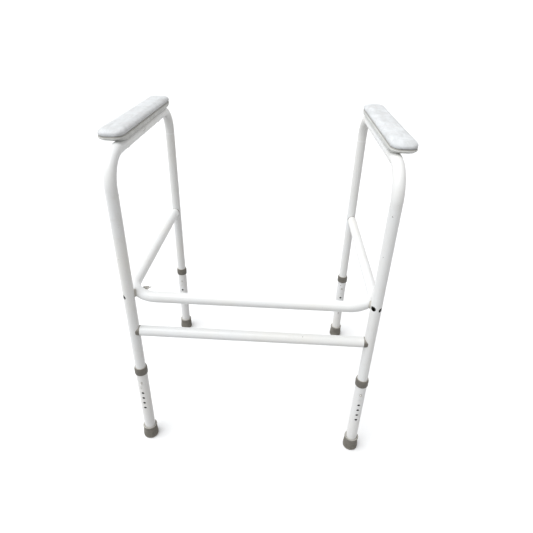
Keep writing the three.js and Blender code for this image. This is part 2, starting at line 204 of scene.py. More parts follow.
def paint_material(name, base, chip_amount=0.5, dirt_low=0.0, seed=0.0, chips=(), scratches=(), rings=()):
    m, nt, b = new_mat(name)
    k = N(nt)
    src = k.mapping(loc=(seed, seed * 0.37, seed * 0.71))
    # slow colour drift and hand-soiled patches
    drift = k.noise(7.0, 5, 0.6, src)
    warm = tuple(c * f for c, f in zip(base, (0.985, 0.970, 0.940)))
    cool = tuple(min(1, c * f) for c, f in zip(base, (0.990, 1.0, 1.015)))
    col = k.mix(k.ramp(drift, [(0.35, 0.0), (0.7, 1.0)]), cool, warm)
    soil = k.noise(38.0, 8, 0.7, src, 0.4)
    soilf = k.ramp(soil, [(0.54, 0.0), (0.80, 0.42)])
    col = k.mix(soilf, col, tuple(c * f for c, f in zip(base, (0.84, 0.82, 0.775))))
    # fine dirt specks
    sp = k.voronoi(300.0, src)
    spk = k.ramp(sp.outputs["Distance"], [(0.07, 1.0), (0.16, 0.0)])
    gate = k.ramp(k.noise(22.0, 3, 0.5, src), [(0.54, 0.0), (0.62, 1.0)])
    specks = k.math("MULTIPLY", spk, gate)
    col = k.mix(k.math("MULTIPLY", specks, 0.30), col, (0.38, 0.34, 0.28))
    # small chips down to dark primer, in a few worn places
    ch = k.noise(260.0, 3, 0.55, src, 0.5)
    chg = k.ramp(k.noise(13.0, 2, 0.5, src), [(0.66 - 0.04 * chip_amount, 0.0), (0.74, 1.0)])
    chip = k.ramp(k.math("MULTIPLY", ch, chg), [(0.60, 0.0), (0.625, 1.0)])
    for i, (cx, cy, cz, r) in enumerate(chips):
        chip = k.math("MAXIMUM", chip, spot(k, (cx, cy, cz), r * 0.45, r * 0.75, 520.0, i + seed))
    rust = k.ramp(k.noise(420.0, 4, 0.6, src), [(0.35, (0.075, 0.062, 0.050)), (0.65, (0.20, 0.155, 0.12))])
    col = k.mix(chip, col, rust)
    # streaky scuffs along the tube
    sc = k.noise(1.0, 6, 0.7, k.mapping(scale=(210, 210, 16), loc=(seed, 3, 1)), 0.2)
    scuff = k.ramp(sc, [(0.62, 0.0), (0.72, 1.0)])
    col = k.mix(k.math("MULTIPLY", scuff, 0.14), col, (0.42, 0.40, 0.36))
    # faint bands where a fitting once gripped the tube
    z = k.sep()[2]
    rear = k.math("GREATER_THAN", k.sep()[1], 0.0)
    for zc, half in rings:
        d = k.math("ABSOLUTE", k.math("SUBTRACT", z, zc * MM))
        band = k.ramp(k.math("MULTIPLY", d, 1 / (half * MM)), [(0.75, 1.0), (1.0, 0.0)])
        col = k.mix(k.math("MULTIPLY", k.math("MULTIPLY", band, rear), 0.45), col, (0.93, 0.93, 0.93))
        edge = k.ramp(k.math("MULTIPLY", d, 1 / (half * MM)), [(0.95, 0.0), (1.15, 1.0), (1.5, 0.0)])
        col = k.mix(k.math("MULTIPLY", k.math("MULTIPLY", edge, rear), 0.14), col, (0.45, 0.42, 0.38))
    for (cx, cy, cz, r, stretch) in scratches:
        mp = k.mapping(scale=(1, 1, 1 / stretch), loc=(0, 0, cz * MM * (1 - 1 / stretch)))
        n = nt.nodes.new("ShaderNodeVectorMath")
        n.operation = "DISTANCE"
        k.link(mp, n.inputs[0])
        n.inputs[1].default_value = (cx * MM, cy * MM, cz * MM)
        nn = k.math("ADD", n.outputs["Value"], k.math("MULTIPLY", k.math("SUBTRACT", k.noise(230.0, 5, 0.7), 0.5), r * MM * 2.2))
        f = k.ramp(k.math("MULTIPLY", nn, 1 / (r * MM)), [(0.55, 1.0), (0.9, 0.0)])
        col = k.mix(k.math("MULTIPLY", f, 0.8), col, (0.30, 0.28, 0.25))
    if dirt_low:
        low = k.ramp(k.math("MULTIPLY", z, 5.0), [(0.10, 1.0), (0.75, 0.0)])
        d = k.math("MULTIPLY", low, k.ramp(k.noise(60.0, 6, 0.7, src), [(0.35, 0.2), (0.75, 1.0)]))
        col = k.mix(k.math("MULTIPLY", d, dirt_low), col, (0.50, 0.46, 0.40))
    k.link(col, b.inputs["Base Color"])
    rough = k.ramp(k.noise(55.0, 5, 0.6, src), [(0.3, 0.30), (0.75, 0.46)])
    rough = k.mix(chip, rough, (0.85, 0.85, 0.85))
    k.link(rough, b.inputs["Roughness"])
    b.inputs["Specular IOR Level"].default_value = 0.5
    b.inputs["Coat Weight"].default_value = 0.15
    b.inputs["Coat Roughness"].default_value = 0.16
    peel = k.noise(430.0, 3, 0.5, src)
    n1 = k.bump(peel, 0.10, 0.00035)
    n2 = k.bump(k.math("SUBTRACT", 1.0, chip), 0.55, 0.00018, n1)
    k.link(n2, b.inputs["Normal"])
    return m


def up_facing_dust_and_highlight(k, nt, lo=0.35, hi=0.95):
    """1 where the surface faces up: where dust settles, and where a painted highlight of the overhead light goes."""
    geo = nt.nodes.new("ShaderNodeNewGeometry")
    return k.ramp(k.sep(geo.outputs["Normal"])[2], [(lo, 0.0), (hi, 1.0)])


def plastic_material(name, base, rough=(0.45, 0.62), grain=900.0, dust=0.25, seed=0.0, dust_col=(0.42, 0.40, 0.37), top_dust_and_highlight=0.2):
    m, nt, b = new_mat(name)
    k = N(nt)
    src = k.mapping(loc=(seed, seed * 0.3, seed * 0.9))
    v = k.noise(48.0, 6, 0.6, src)
    dark = tuple(c * 0.80 for c in base)
    light = tuple(min(1, c * 1.22) for c in base)
    col = k.mix(k.ramp(v, [(0.3, 0.0), (0.75, 1.0)]), dark, light)
    d = k.ramp(k.noise(120.0, 8, 0.72, src, 0.3), [(0.48, 0.0), (0.72, 1.0)])
    col = k.mix(k.math("MULTIPLY", d, dust), col, dust_col)
    # up-facing surfaces take the dust colour; with a weight above 0.4 that colour is doubled into a painted highlight
    # of the light from above
    col = k.mix(k.math("MULTIPLY", up_facing_dust_and_highlight(k, nt), top_dust_and_highlight), col, tuple(min(1, c * 2.0 + 0.03) for c in dust_col) if top_dust_and_highlight > 0.4 else dust_col)
    # edges rub lighter
    geo = nt.nodes.new("ShaderNodeNewGeometry")
    edge = k.ramp(geo.outputs["Pointiness"], [(0.52, 0.0), (0.60, 1.0)])
    col = k.mix(k.math("MULTIPLY", edge, 0.35), col, tuple(min(1, c * 1.9 + 0.03) for c in base))
    k.link(col, b.inputs["Base Color"])
    k.link(k.ramp(k.noise(180.0, 5, 0.6, src), [(0.3, rough[0]), (0.7, rough[1])]), b.inputs["Roughness"])
    g = k.noise(grain, 3, 0.6, src)
    k.link(k.bump(g, 0.25, 0.00025), b.inputs["Normal"])
    return m


def rubber_material(name, base=(0.165, 0.152, 0.130)):
    m, nt, b = new_mat(name)
    k = N(nt)
    z = k.sep()[2]
    v = k.noise(70.0, 7, 0.65)
    col = k.mix(k.ramp(v, [(0.3, 0.0), (0.75, 1.0)]), tuple(c * 0.75 for c in base), tuple(c * 1.35 for c in base))
    dust = k.ramp(k.noise(160.0, 9, 0.75, None, 0.5), [(0.46, 0.0), (0.70, 1.0)])
    high = k.ramp(k.math("MULTIPLY", z, 20.0), [(0.60, 0.1), (0.76, 1.0)])
    col = k.mix(k.math("MULTIPLY", dust, 0.28), col, (0.33, 0.31, 0.27))
    col = k.mix(k.math("MULTIPLY", high, 0.38), col, (0.33, 0.32, 0.29))
    # up-facing rubber is lightened: settled dust, and a painted highlight of the light from above
    col = k.mix(k.math("MULTIPLY", up_facing_dust_and_highlight(k, nt), 0.6), col, (0.60, 0.58, 0.53))
    floor_d = k.ramp(k.math("MULTIPLY", z, 40.0), [(0.05, 1.0), (0.35, 0.0)])
    col = k.mix(k.math("MULTIPLY", floor_d, 0.45), col, (0.36, 0.33, 0.29))
    sc = k.noise(1.0, 5, 0.7, k.mapping(scale=(260, 260, 35)))
    col = k.mix(k.math("MULTIPLY", k.ramp(sc, [(0.60, 0.0), (0.70, 1.0)]), 0.30), col, (0.40, 0.38, 0.35))
    k.link(col, b.inputs["Base Color"])
    k.link(k.ramp(k.noise(90.0, 4, 0.6), [(0.3, 0.62), (0.7, 0.88)]), b.inputs["Roughness"])
    b.inputs["Specular IOR Level"].default_value = 0.35
    k.link(k.bump(k.noise(650.0, 4, 0.65), 0.35, 0.0004), b.inputs["Normal"])
    return m


def steel_material(name, base=(0.58, 0.58, 0.57), rough=(0.24, 0.42), tarnish=0.35):
    m, nt, b = new_mat(name)
    k = N(nt)
    v = k.noise(160.0, 6, 0.65)
    col = k.mix(k.ramp(v, [(0.35, 0.0), (0.75, 1.0)]), base, tuple(c * f for c, f in zip(base, (0.74, 0.70, 0.62))))
    t = k.ramp(k.noise(320.0, 6, 0.7), [(0.56, 0.0), (0.68, 1.0)])
    col = k.mix(k.math("MULTIPLY", t, tarnish), col, (0.16, 0.11, 0.08))
    k.link(col, b.inputs["Base Color"])
    b.inputs["Metallic"].default_value = 0.95
    k.link(k.ramp(k.noise(260.0, 4, 0.6), [(0.3, rough[0]), (0.7, rough[1])]), b.inputs["Roughness"])
    k.link(k.bump(k.noise(1, 4, 0.6, k.mapping(scale=(1600, 500, 900))), 0.14, 0.0002), b.inputs["Normal"])
    return m


def vinyl_material(name, seed):
    """Worn light grey vinyl: pale scuffed patches drawn along the pad, fine leather grain."""
    m, nt, b = new_mat(name)
    k = N(nt)
    src = k.mapping(loc=(seed, 0, 0))
    streak = k.noise(1.0, 7, 0.68, k.mapping(scale=(58, 20, 30), loc=(seed, 1.3, 0), rot=(0, 0, 0.35)), 1.1)
    blot = k.noise(34.0, 6, 0.62, src, 0.8)
    f = k.math("ADD", k.math("MULTIPLY", streak, 0.6), k.math("MULTIPLY", blot, 0.4))
    col = k.ramp(f, [(0.40, (0.565, 0.574, 0.574)), (0.50, (0.640, 0.655, 0.664)), (0.60, (0.715, 0.729, 0.743))])
    # pink-grey soiling
    pink = k.ramp(k.noise(26.0, 5, 0.6, k.mapping(loc=(seed + 4, 2, 0)), 0.5), [(0.50, 0.0), (0.72, 1.0)])
    col = k.mix(k.math("MULTIPLY", pink, 0.45), col, (0.60, 0.565, 0.555))
    # hair-fine pale scuffs
    hair = k.voronoi(1.0, k.mapping(scale=(300, 75, 120), rot=(0, 0, 0.6), loc=(seed, 0, 0)), "DISTANCE_TO_EDGE")
    hf = k.ramp(hair.outputs["Distance"], [(0.0, 1.0), (0.05, 0.0)])
    hg = k.ramp(k.noise(30.0, 4, 0.6, src), [(0.50, 0.0), (0.62, 1.0)])
    col = k.mix(k.math("MULTIPLY", k.math("MULTIPLY", hf, hg), 0.35), col, (0.90, 0.90, 0.885))
    dots = k.voronoi(430.0, src)
    df = k.math("MULTIPLY", k.ramp(dots.outputs["Distance"], [(0.08, 1.0), (0.16, 0.0)]), k.ramp(k.noise(45.0, 2, 0.5, src), [(0.58, 0.0), (0.64, 1.0)]))
    col = k.mix(k.math("MULTIPLY", df, 0.5), col, (0.33, 0.31, 0.28))
    k.link(col, b.inputs["Base Color"])
    k.link(k.ramp(f, [(0.38, 0.44), (0.62, 0.66)]), b.inputs["Roughness"])
    b.inputs["Sheen Weight"].default_value = 0.12
    b.inputs["Sheen Roughness"].default_value = 0.4
    grain = k.voronoi(640.0, src, "F1")
    n1 = k.bump(grain.outputs["Distance"], 0.16, 0.00035)
    wr = k.noise(1.0, 5, 0.6, k.mapping(scale=(70, 26, 40), loc=(seed, 0, 2)), 0.9)
    k.link(k.bump(wr, 0.30, 0.0012, n1), b.inputs["Normal"])
    return m


PAINT_BASE = (0.83, 0.83, 0.82)
PAINT = {
    "side_frame_left": paint_material("paint_side_frame_left", PAINT_BASE, 0.6, 0.0, 0.4,
                                      chips=[(-264.5, -236, 705, 2.6), (-266, -229, 688, 1.8), (-270, -247, 640, 1.3), (-281, -248.5, 565, 1.2)], rings=[(709, 3.0)]),
    "side_frame_right": paint_material("paint_side_frame_right", PAINT_BASE, 0.7, 0.0, 2.1,
                                       chips=[(271, -246.5, 690, 3.2), (267, -240, 676, 2.2), (265, -241, 708, 1.6), (268, -246, 600, 1.4)], rings=[(709, 3.0)]),
    "u_brace": paint_material("paint_u_brace", PAINT_BASE, 0.3, 0.0, 3.8, chips=[(-60, -240, 476, 1.5), (95, -246, 470, 1.3)]),
    "lower_crossbar": paint_material("paint_lower_crossbar", PAINT_BASE, 0.4, 0.0, 5.5, chips=[(120, -243, 378, 1.4)]),
}
SLEEVE = {}
for i, (e, s) in enumerate([(e, s) for e, _ in ENDS for s, _ in SIDES]):
    sl = [(271.0, 224.5, 128, 3.2, 3.2), (276, 223.4, 104, 2.4, 2.4)] if (e, s) == ("rear", "right") else []
    SLEEVE[f"{e}_{s}"] = paint_material(f"paint_sleeve_{e}_{s}", (0.835, 0.83, 0.82), 0.5, 0.22, 9.0 + 2.3 * i, scratches=sl)
# up-facing surfaces of this plastic carry a painted highlight of the overhead light (weight above 0.4)
DARK = plastic_material("dark_plastic", (0.130, 0.119, 0.100), dust=0.22, dust_col=(0.27, 0.255, 0.225), top_dust_and_highlight=0.55)
SADDLE = plastic_material("dusty_saddle", (0.34, 0.325, 0.295), dust=0.3, seed=3.0, dust_col=(0.45, 0.43, 0.39))
INSIDE = plastic_material("tube_inside", (0.12, 0.108, 0.092), (0.6, 0.8), 500.0, 0.25, 11.0, (0.10, 0.08, 0.06), 0.0)
RUBBER = rubber_material("foot_rubber")
STEEL = steel_material("zinc_steel")
NUTM = steel_material("cast_zinc", (0.66, 0.65, 0.63), (0.34, 0.52), 0.22)
SPRING = steel_material("spring_steel", (0.40, 0.41, 0.42), (0.22, 0.36), 0.15)
BASEM = plastic_material("base_plastic", (0.60, 0.605, 0.58), (0.42, 0.58), 1200.0, 0.30, 5.0, (0.45, 0.43, 0.39), 0.1)
TRIMM = plastic_material("groove_strip", (0.42, 0.41, 0.38), dust=0.2, seed=7)
VINYL = {"left": vinyl_material("vinyl_left", 2.0), "right": vinyl_material("vinyl_right", 7.5)}
FLOOR, _nt, _b = new_mat("pale_floor")
_b.inputs["Base Color"].default_value = (0.92, 0.92, 0.92, 1)
_b.inputs["Roughness"].default_value = 0.9


# ------------------------------------------------------------ mesh helpers
def obj_from(name, verts, faces, mat, smooth=True, sharp=35.0):
    me = bpy.data.meshes.new(name)
    me.from_pydata([tuple(c * MM for c in v) for v in verts], [], faces)
    me.update()
    ob = bpy.data.objects.new(name, me)
    bpy.context.scene.collection.objects.link(ob)
    finish_mesh(ob, mat, smooth, sharp)
    return ob


def finish_mesh(ob, mat, smooth=True, sharp=35.0):
    me = ob.data
    bm = bmesh.new()
    bm.from_mesh(me)
    bmesh.ops.remove_doubles(bm, verts=bm.verts, dist=1e-7)
    bmesh.ops.recalc_face_normals(bm, faces=bm.faces)
    for f in bm.faces:
        f.smooth = smooth
    lim = math.radians(sharp)
    for e in bm.edges:
        if len(e.link_faces) == 2:
            e.smooth = e.calc_face_angle(0.0) < lim
    bm.to_mesh(me)
    bm.free()
    me.materials.clear()
    if mat is not None:
        me.materials.append(mat)
    return ob


def lathe(name, profile, mat, axis_o=(0, 0, 0), axis=(0, 0, 1), sides=64, sharp=35.0, wobble=None):
    """profile: closed loop of [r, h]; points at r=0 close on the axis."""
    q = Vector((0, 0, 1)).rotation_difference(Vector(axis).normalized())
    o = Vector(axis_o)
    verts, faces, rings = [], [], []
    for r, h in profile:
        if r < 1e-6:
            rings.append([len(verts)])
            verts.append(o + q @ V(0, 0, h))
        else:
            idx = []
            for i in range(sides):
                a = TAU * i / sides
                rr, hh = (r, h) if wobble is None else wobble(r, h, a)
                idx.append(len(verts))
                verts.append(o + q @ V(rr * math.cos(a), rr * math.sin(a), hh))
            rings.append(idx)
    n = len(rings)
    closed = not (len(rings[0]) == 1 and len(rings[-1]) == 1)
    for k in range(n if closed else n - 1):
        A, B = rings[k], rings[(k + 1) % n]
        if len(A) == 1 and len(B) == 1:
            continue
        for i in range(sides):
            j = (i + 1) % sides
            if len(A) == 1:
                faces.append((A[0], B[j], B[i]))
            elif len(B) == 1:
                faces.append((A[i], A[j], B[0]))
            else:
                faces.append((A[i], A[j], B[j], B[i]))
    return obj_from(name, verts, faces, mat, True, sharp)


def rounded(profile, radii, steps=4):
    """Rounds the corners of an open [r, h] profile; radii gives one radius for each point, 0 for sharp."""
    out = []
    n = len(profile)
    for i, (p, rad) in enumerate(zip(profile, radii)):
        if rad <= 0 or i in (0, n - 1):
            out.append(list(p))
            continue
        a, b, c = Vector(profile[i - 1]), Vector(p), Vector(profile[i + 1])
        u, v = (a - b), (c - b)
        lu, lv = u.length, v.length
        u.normalize()
        v.normalize()
        ang = u.angle(v)
        t = min(rad / math.tan(ang / 2), lu * 0.48, lv * 0.48)
        p0, p1 = b + u * t, b + v * t
        for s in range(steps + 1):
            w = s / steps
            q = p0 * (1 - w) ** 2 + b * 2 * w * (1 - w) + p1 * w * w
            out.append([q.x, q.y])
    return out


def sweep(name, pts, r, mat, sides=48, ri=None, deform=None):
    """Tube along points (mm), with frames carried along. Hollow when ri is given."""
    P = [Vector(p) for p in pts]
    T = []
    for i in range(len(P)):
        a, b = P[max(i - 1, 0)], P[min(i + 1, len(P) - 1)]
        T.append((b - a).normalized())
    ref = Vector((1, 0, 0)) if abs(T[0].x) < 0.8 else Vector((0, 0, 1))
    n0 = (ref - T[0] * ref.dot(T[0])).normalized()
    frames = [n0]
    for i in range(1, len(P)):
        q = T[i - 1].rotation_difference(T[i])
        n0 = (q @ frames[-1])
        n0 = (n0 - T[i] * n0.dot(T[i])).normalized()
        frames.append(n0)
    verts, faces = [], []

    def rings(rad):
        out = []
        for i, (p, t, n0) in enumerate(zip(P, T, frames)):
            bn = t.cross(n0)
            idx = []
            for kk in range(sides):
                a = TAU * kk / sides
                idx.append(len(verts))
                d = n0 * math.cos(a) + bn * math.sin(a)
                rr = rad if deform is None else rad * deform(i, p, d)
                verts.append(p + d * rr)
            out.append(idx)
        return out

    outer = rings(r)
    for A, B in zip(outer, outer[1:]):
        for i in range(sides):
            j = (i + 1) % sides
            faces.append((A[i], A[j], B[j], B[i]))
    if ri:
        inner = rings(ri)
        for A, B in zip(inner, inner[1:]):
            for i in range(sides):
                j = (i + 1) % sides
                faces.append((A[i], B[i], B[j], A[j]))
        for O, I in ((outer[0], inner[0]), (outer[-1], inner[-1])):
            for i in range(sides):
                j = (i + 1) % sides
                faces.append((O[i], I[i], I[j], O[j]))
    else:
        faces.append(tuple(outer[0]))
        faces.append(tuple(reversed(outer[-1])))
    return obj_from(name, verts, faces, mat)


def cut(ob, tools, op="DIFFERENCE"):
    for t in tools:
        m = ob.modifiers.new("cut", "BOOLEAN")
        m.operation = op
        m.solver = "EXACT"
        m.object = t
    bake(ob)
    for t in tools:
        bpy.data.objects.remove(t)


def bake(ob):
    """Applies every modifier to the mesh."""
    bpy.context.view_layer.update()
    dg = bpy.context.evaluated_depsgraph_get()
    me = bpy.data.meshes.new_from_object(ob.evaluated_get(dg), preserve_all_data_layers=True, depsgraph=dg)
    old = ob.data
    ob.modifiers.clear()
    ob.data = me
    bpy.data.meshes.remove(old)


def rod(a, b, r, sides=32, name="tool"):
    a, b = Vector(a), Vector(b)
    return sweep(name, [a, b], r, None, sides)


def dark_inside(ob, inner):
    """Bare dark metal on every face that `inner(centre mm, normal)` says is inside the tube."""
    ob.data.materials.append(INSIDE)
    for p in ob.data.polygons:
        if inner(p.center / MM, p.normal):
            p.material_index = 1


def stand_for(ob, body, slot, *nodes):
    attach(ob, body)
    if nodes:
        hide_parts(*nodes)
    return ob


# ----------------------------------------------------------------- paths
def line(a, b, step):
    a, b = Vector(a), Vector(b)
    n = max(1, int(round((b - a).length / step)))
    return [a.lerp(b, i / n) for i in range(n + 1)]


def arc(c, u, v, r, a0, a1, n):
    c, u, v = Vector(c), Vector(u), Vector(v)
    return [c + (u * math.cos(a0 + (a1 - a0) * i / n) + v * math.sin(a0 + (a1 - a0) * i / n)) * r for i in range(n + 1)]


def join_path(*parts):
    out = []
    for p in parts:
        for q in p:
            if not out or (out[-1] - q).length > 1e-4:
                out.append(q)
    return out


def arch_path(x):
    zb = ARM_Z - BEND_R
    return join_path(
        line((x, -LY, LEG_END), (x, -LY, zb), 12),
        arc((x, -LY + BEND_R, zb), (0, -1, 0), (0, 0, 1), BEND_R, 0, math.pi / 2, 30),
        line((x, -LY + BEND_R, ARM_Z), (x, LY - BEND_R, ARM_Z), 12),
        arc((x, LY - BEND_R, zb), (0, 1, 0), (0, 0, 1), BEND_R, math.pi / 2, 0, 30),
        line((x, LY, zb), (x, LY, LEG_END), 12),
    )


def brace_path():
    c = BRACE_X - BRACE_BEND
    yc = BRACE_Y + BRACE_BEND
    return join_path(
        line((-BRACE_X, BRACE_END_Y, BRACE_Z), (-BRACE_X, yc, BRACE_Z), 12),
        arc((-c, yc, BRACE_Z), (-1, 0, 0), (0, -1, 0), BRACE_BEND, 0, math.pi / 2, 30),
        line((-c, BRACE_Y, BRACE_Z), (c, BRACE_Y, BRACE_Z), 12),
        arc((c, yc, BRACE_Z), (0, -1, 0), (1, 0, 0), BRACE_BEND, 0, math.pi / 2, 30),
        line((BRACE_X, yc, BRACE_Z), (BRACE_X, BRACE_END_Y, BRACE_Z), 12),
    )


DIAG = V(BRACE_X - BRACE_BEND - LX, BRACE_Y + BRACE_BEND + LY, 0)
BEND_GAP = DIAG.length - BRACE_BEND
DIAG.normalize()


def diag(s):
    return V(DIAG.x * s, DIAG.y, 0)


# ------------------------------------------------------------ tubes
def bend_flatten(centre_fn):
    """A mandrel-bent tube is a little flat on the outside of each bend."""
    def f(i, p, d):
        c = centre_fn(p)
        if c is None:
            return 1.0
        out = (p - c).normalized()
        k = d.dot(out)
        return 1.0 - 0.022 * max(0.0, k) ** 3
    return f


def arch_centre(x):
    zb = ARM_Z - BEND_R
    def f(p):
        if p.z > zb + 6 and abs(p.y) > LY - BEND_R + 6:
            return V(x, math.copysign(LY - BEND_R, p.y), zb)
        return None
    return f


def brace_centre(p):
    c, yc = BRACE_X - BRACE_BEND, BRACE_Y + BRACE_BEND
    if abs(p.x) > c + 6 and p.y < yc - 6:
        return V(math.copysign(c, p.x), yc, BRACE_Z)
    return None


def bolt_holes(at, d):
    at, d = Vector(at), Vector(d)
    return [rod(at + d * 5, at + d * 20, 3.35, 24), rod(at - d * 20, at - d * 5, ACCESS_R, 40)]


for side, s in SIDES:
    ob = sweep(f"vis_side_frame_{side}", arch_path(s * LX), R_TUBE, PAINT[f"side_frame_{side}"], 56, 11.0, bend_flatten(arch_centre(s * LX)))
    tools = bolt_holes((s * LX, -LY, CROSS_Z), (-s, 0, 0)) + bolt_holes((s * LX, -LY, CORNER_Z), diag(s)) + bolt_holes((s * BRACE_X, LY, BRACE_Z), (0, -1, 0))
    if side == "right":
        at = V(LX, -LY, BRACE_Z + 4)
        tools.append(rod(at + V(-3.6, -3.475, 0), at + V(-14.4, -13.9, 0), 6.4, 40))
    cut(ob, tools)
    finish_mesh(ob, PAINT[f"side_frame_{side}"])

    def inner(c, n, x=s * LX):
        if c.z > ARM_Z - BEND_R - 2:
            return False
        y = LY if c.y > 0 else -LY
        return math.hypot(c.x - x, c.y - y) < 11.35
    dark_inside(ob, inner)
    stand_for(ob, "frame", "frame_paint", f"side_frame_{side}")
ob = sweep("vis_u_brace", brace_path(), R_TUBE, PAINT["u_brace"], 56, 11.0, bend_flatten(brace_centre))
stand_for(ob, "frame", "frame_paint", "u_brace")
ob = sweep("vis_lower_crossbar", line((-CROSS_END, -LY, CROSS_Z), (CROSS_END, -LY, CROSS_Z), 12), R_TUBE, PAINT["lower_crossbar"], 56, 11.0)
stand_for(ob, "frame", "frame_paint", "lower_crossbar")


# ------------------------------------------------------- coped end plugs
def coped_plug(name, base, direction, leg_xy):
    b, d = Vector(base), Vector(direction)
    prof = [[0, -14], [10.4, -14], [10.4, 0.2]] + [[11.6, 0.2], [12.25, 0.8], [12.35, 2.0], [12.35, 9.2], [0, 9.2]]
    ob = lathe(name, prof, None, b, d, 64)
    z = b.z
    cut(ob, [rod((leg_xy[0], leg_xy[1], z - 30), (leg_xy[0], leg_xy[1], z + 30), R_TUBE + 0.12, 96)])
    bv = ob.modifiers.new("bevel", "BEVEL")
    bv.width = 0.35 * MM
    bv.segments = 2
    bv.limit_method = "ANGLE"
    bv.angle_limit = math.radians(40)
    bake(ob)
    return finish_mesh(ob, DARK)


for side, s in SIDES:
    ob = coped_plug(f"vis_crossbar_plug_{side}", (s * CROSS_END, -LY, CROSS_Z), (s, 0, 0), (s * LX, -LY))
    stand_for(ob, "frame", "dark_plastic", f"crossbar_plug_{side}")
    ob = coped_plug(f"vis_brace_plug_{side}", (s * BRACE_X, BRACE_END_Y, BRACE_Z), (0, 1, 0), (s * LX, LY))
    stand_for(ob, "frame", "dark_plastic", f"brace_plug_{side}")


# --------------------------------------------------------- bolts and nuts
def domed_bolt(name, seat, out, r, head_r, head_h, length, mat, socket=2.0):
    """Button head along `out` from the seat point, shank the other way, hex socket in the head."""
    prof = [[0, -length], [r - 0.5, -length], [r, -length + 0.6], [r, -0.01], [head_r - 0.25, 0], [head_r, 0.25], [head_r, head_h * 0.28]]
    for i in range(1, 9):
        a = i / 8 * math.pi / 2
        prof.append([head_r * math.cos(a) if i < 8 else 0, head_h * 0.28 + head_h * 0.72 * math.sin(a)])
    ob = lathe(name, prof, None, seat, out, 40, 30)
    if socket:
        o = Vector(out).normalized()
        tool = sweep("hex", [Vector(seat) + o * (head_h * 0.35), Vector(seat) + o * (head_h + 2)], socket, None, 6)
        cut(ob, [tool])
        finish_mesh(ob, mat, True, 30)
    else:
        finish_mesh(ob, mat, True, 30)
    return ob


for side, s in SIDES:
    ob = domed_bolt(f"vis_crossbar_bolt_{side}", (s * (LX - SEAT), -LY, CROSS_Z), (s, 0, 0), 3.0, 4.6, 2.8, 28, STEEL)
    stand_for(ob, "frame", "fastener_steel", f"crossbar_bolt_{side}")
    ob = domed_bolt(f"vis_brace_end_bolt_{side}", (s * BRACE_X, LY - SEAT + 1.5, BRACE_Z), (0, 1, 0), 3.0, 4.6, 2.8, 28, STEEL)
    stand_for(ob, "frame", "fastener_steel", f"brace_end_bolt_{side}")
    d = diag(s)
    leg = V(s * LX, -LY, CORNER_Z)
    reach = BEND_GAP + R_TUBE + 13 if side == "left" else BEND_GAP + 6.4
    ob = domed_bolt(f"vis_corner_bolt_{side}", leg + d * SEAT, -d, 3.0, 4.6, 3.0, reach - SEAT, STEEL)
    stand_for(ob, "frame", "fastener_steel", f"corner_bolt_{side}")
    # saddle spacer between leg and brace bend
    sd = rod(leg + d * 4, leg + d * (BEND_GAP - 4), 8.7, 56, f"vis_corner_saddle_{side}")
    tool2 = sweep("t", [p for p in brace_path() if p.x * s > 150 and p.y < -60], R_TUBE + 0.1, None, 96)
    cut(sd, [rod(V(s * LX, -LY, BRACE_Z - 30), V(s * LX, -LY, BRACE_Z + 30), R_TUBE + 0.1, 96), tool2, rod(leg, leg + d * BEND_GAP, 3.2, 24)])
    finish_mesh(sd, SADDLE)
    stand_for(sd, "frame", "dark_plastic", f"corner_saddle_{side}")
for n in ("barrel_nut_right",):
    NODES[n].data.materials.clear()
    NODES[n].data.materials.append(STEEL)


# ------------------------------------------------------------- wing nut
def wing_nut():
    d = diag(-1)
    leg = V(-LX, -LY, CORNER_Z)
    face = BEND_GAP + R_TUBE + 0.9
    w = lathe("vis_wing_nut_washer", rounded([[3.2, 0], [6.2, 0], [6.2, 1.2], [3.2, 1.2]], [0, 0.3, 0.3, 0], 3), STEEL, leg + d * face, d, 40)
    stand_for(w, "frame", "fastener_steel", "wing_nut_washer")
    hub = lathe("hub", [[3.25, 0.1], [5.7, 0.1], [5.75, 1.5], [5.2, 4.0], [4.7, 6.6], [4.3, 7.4], [3.3, 7.6]], None, sides=40)
    verts, faces = [], []
    outline = [(3.6, 0.9), (6.4, 1.1), (8.6, 3.0), (11.0, 5.4), (12.7, 7.6), (13.2, 9.8), (12.2, 11.6), (10.3, 12.1), (8.6, 11.0), (6.9, 8.8), (5.0, 7.0), (3.6, 6.4)]
    parts = [hub]
    for sgn in (1, -1):
        verts, faces = [], []
        n = len(outline)
        for y in (-1.25, 1.25):
            for (px, pz) in outline:
                verts.append(V(sgn * px, y * (1.0 if px < 8 else 0.8), pz))
        faces.append(tuple(range(n - 1, -1, -1)) if sgn > 0 else tuple(range(n)))
        faces.append(tuple(range(n, 2 * n)) if sgn > 0 else tuple(range(2 * n - 1, n - 1, -1)))
        for i in range(n):
            j = (i + 1) % n
            q = (i, j, n + j, n + i)
            faces.append(q if sgn > 0 else tuple(reversed(q)))
        parts.append(obj_from("wing", verts, faces, None))
    cut(hub, parts[1:], "UNION")
    hub.name = "vis_wing_nut"
    rm = hub.modifiers.new("r", "REMESH")
    rm.mode = "VOXEL"
    rm.voxel_size = 0.32 * MM
    sm = hub.modifiers.new("s", "SMOOTH")
    sm.factor = 0.5
    sm.iterations = 5
    bake(hub)
    q = Vector((0, 0, 1)).rotation_difference(d) @ Quaternion((0, 0, 1), math.pi / 2 + 0.35)
    o = (leg + d * (face + 1.45)) * MM
    for v in hub.data.vertices:
        v.co = q @ v.co + o
    finish_mesh(hub, NUTM, True, 60)
    stand_for(hub, "wing_nut_body", "fastener_steel", "wing_nut")


wing_nut()


